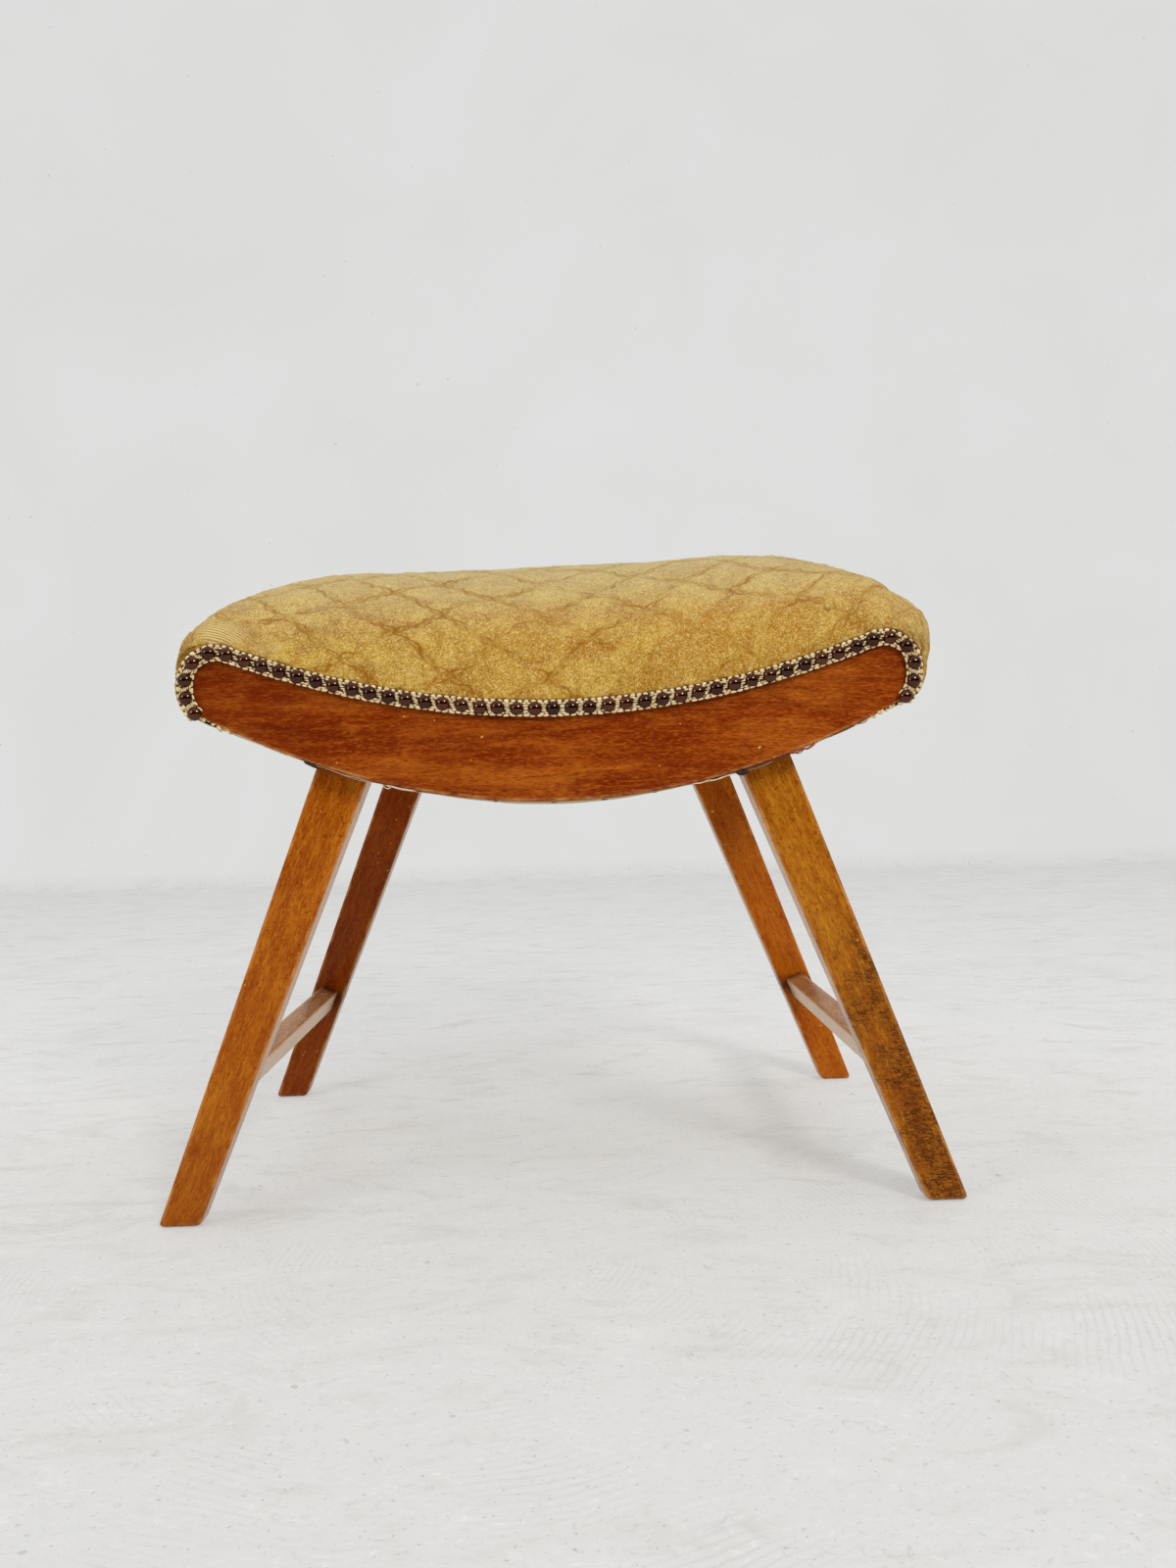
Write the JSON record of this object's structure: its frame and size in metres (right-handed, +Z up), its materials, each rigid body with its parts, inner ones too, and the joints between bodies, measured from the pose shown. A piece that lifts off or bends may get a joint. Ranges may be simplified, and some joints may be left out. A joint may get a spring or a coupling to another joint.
{
  "type": "vanity stool",
  "caption": "Upholstered vanity stool: a sprung velvet seat on crescent show rails with a nailed braid edge, on splayed tapered legs joined by stretchers.",
  "frame": {"origin": "on the floor under the middle of the seat", "axes": "+X along the seat to the right as seen from the front, +Y from the front to the back, +Z up"},
  "size_m": [0.5736, 0.3984, 0.485],
  "materials": {
    "leg_wood": "amber lacquered beech, satin, worn at the edges",
    "rail_wood": "red brown lacquered beech, satin",
    "frame_wood": "plain sawn softwood, hidden",
    "screw_steel": "plain steel, dull",
    "webbing": "woven jute",
    "spring_steel": "coppered steel wire, dull",
    "hessian": "coarse open weave",
    "stuffing": "loose fibre and wadding",
    "velvet": "mustard velvet with a sunken trellis pattern, worn",
    "gimp": "cream woven braid",
    "nail_brass": "antique bronzed domes, semi-gloss",
    "dust_cloth": "thin cream calico"
  },
  "bodies": {
    "root": {"front_rail": "rail_wood", "back_rail": "rail_wood", "left_end_rail": "frame_wood", "right_end_rail": "frame_wood", "leg_front_left": "leg_wood", "leg_front_right": "leg_wood", "leg_back_left": "leg_wood", "leg_back_right": "leg_wood", "stretcher_left": "leg_wood", "stretcher_right": "leg_wood", "corner_block_front_left": "frame_wood", "leg_screw_front_left_1": "screw_steel", "leg_screw_front_left_2": "screw_steel", "corner_block_front_right": "frame_wood", "leg_screw_front_right_1": "screw_steel", "leg_screw_front_right_2": "screw_steel", "corner_block_back_left": "frame_wood", "leg_screw_back_left_1": "screw_steel", "leg_screw_back_left_2": "screw_steel", "corner_block_back_right": "frame_wood", "leg_screw_back_right_1": "screw_steel", "leg_screw_back_right_2": "screw_steel", "cross_webbing_1": "webbing", "cross_webbing_2": "webbing", "cross_webbing_3": "webbing", "cross_webbing_4": "webbing", "cross_webbing_5": "webbing", "long_webbing_1": "webbing", "long_webbing_2": "webbing", "coil_spring_1": "spring_steel", "coil_spring_2": "spring_steel", "coil_spring_3": "spring_steel", "coil_spring_4": "spring_steel", "coil_spring_5": "spring_steel", "coil_spring_6": "spring_steel", "coil_spring_7": "spring_steel", "coil_spring_8": "spring_steel", "coil_spring_9": "spring_steel", "coil_spring_10": "spring_steel", "hessian_cover": "hessian", "stuffing": "stuffing", "velvet_cover": "velvet", "front_gimp": "gimp", "back_gimp": "gimp", "dust_cloth": "dust_cloth"}
  },
  "joints": []
}
